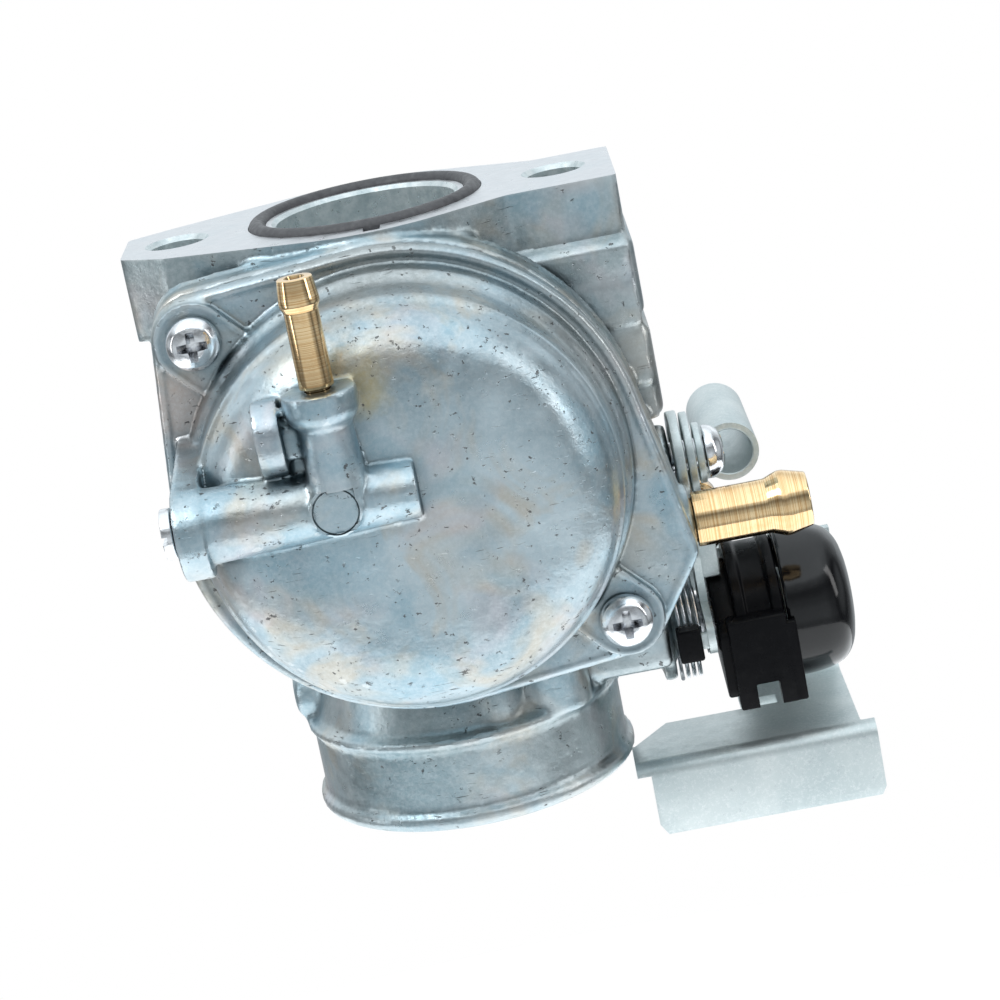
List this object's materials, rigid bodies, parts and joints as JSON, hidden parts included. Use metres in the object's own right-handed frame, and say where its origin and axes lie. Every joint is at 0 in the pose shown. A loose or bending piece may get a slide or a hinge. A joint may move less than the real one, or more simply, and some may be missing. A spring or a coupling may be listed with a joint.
{
  "type": "carburetor",
  "caption": "Small side-float butterfly carburetor with a flange joint, float bowl, cable drum, fuel and drain nozzles and a sheet-metal cable bracket.",
  "frame": {"origin": "centre of the bore on the machined face of the two-bolt flange", "axes": "+Z out of the flange along the bore, -Y to the float bowl (down when fitted), +X to the throttle drum"},
  "size_m": [0.0829, 0.0742, 0.0882],
  "materials": {
    "cast_alloy": "die-cast, passivated, lightly blotched",
    "brass": "turned, bright",
    "bright_steel": "plated, polished",
    "zinc_steel": "zinc plated sheet",
    "rubber": "matte, dusted",
    "black_plastic": "moulded, glossy",
    "gasket_fibre": "matte sheet",
    "float_plastic": "moulded"
  },
  "bodies": {
    "carburetor_body": {"throttle_body": "cast_alloy", "flange_o_ring": "rubber", "body_plug": "brass", "float_bowl": "cast_alloy", "bowl_gasket": "gasket_fibre", "bowl_screw_upper": "bright_steel", "bowl_screw_lower": "bright_steel", "drain_nozzle": "brass", "drain_plug": "cast_alloy", "fuel_inlet": "brass", "needle_seat": "brass", "float_pin": "bright_steel", "main_jet": "brass", "main_nozzle": "brass", "pilot_jet": "brass", "guide_clip": "zinc_steel", "clip_washer_wide": "zinc_steel", "clip_washer_small": "zinc_steel", "clip_screw": "bright_steel", "cable_bracket": "zinc_steel", "bracket_screw_upper": "bright_steel", "bracket_screw_lower": "bright_steel", "return_spring": "bright_steel", "idle_stop_spring": "bright_steel", "mixture_spring": "bright_steel"},
    "throttle": {"throttle_shaft": "zinc_steel", "throttle_plate": "brass", "plate_screw_left": "bright_steel", "plate_screw_right": "bright_steel", "throttle_lever": "zinc_steel", "spring_sleeve": "black_plastic", "throttle_drum": "black_plastic", "drum_cap": "black_plastic", "shaft_nut": "zinc_steel"},
    "fuel_float": {"float": "float_plastic"},
    "inlet_needle": {"float_needle": "bright_steel"},
    "drain_valve": {"drain_screw": "bright_steel"},
    "idle_stop": {"idle_stop_screw": "brass"},
    "idle_mixture": {"mixture_screw": "brass"}
  },
  "joints": [
    {"name": "throttle_turn", "type": "hinge", "parent": "carburetor_body", "child": "throttle", "pos_m": [0, 0, -0.0615], "axis": [1, 0, 0], "range_deg": [0, 80], "stiffness_Nm_per_rad": 0.06, "springref_deg": -28.65, "deforming": ["return_spring"]},
    {"name": "float_hinge", "type": "hinge", "parent": "carburetor_body", "child": "fuel_float", "pos_m": [0, -0.0244, -0.0499], "axis": [1, 0, 0], "range_deg": [0, 7]},
    {"name": "needle_slide", "type": "slide", "parent": "carburetor_body", "child": "inlet_needle", "axis": [0, -1, 0], "range_m": [0, 0.0006]},
    {"name": "drain_screw_turn", "type": "hinge", "parent": "carburetor_body", "child": "drain_valve", "pos_m": [-0.022, -0.0412, -0.0259], "axis": [-1, 0, 0], "range_deg": [0, 1080]},
    {"name": "idle_stop_turn", "type": "hinge", "parent": "carburetor_body", "child": "idle_stop", "pos_m": [0.035, 0.012, -0.0509], "axis": [0, 1, 0], "range_deg": [-720, 720]},
    {"name": "mixture_turn", "type": "hinge", "parent": "carburetor_body", "child": "idle_mixture", "pos_m": [-0.009, 0.018, -0.049], "axis": [0, 1, 0], "range_deg": [-540, 720]}
  ],
  "couplings": [
    {"joint": "needle_slide", "follows": "float_hinge", "m_per_rad": 0.0044}
  ]
}
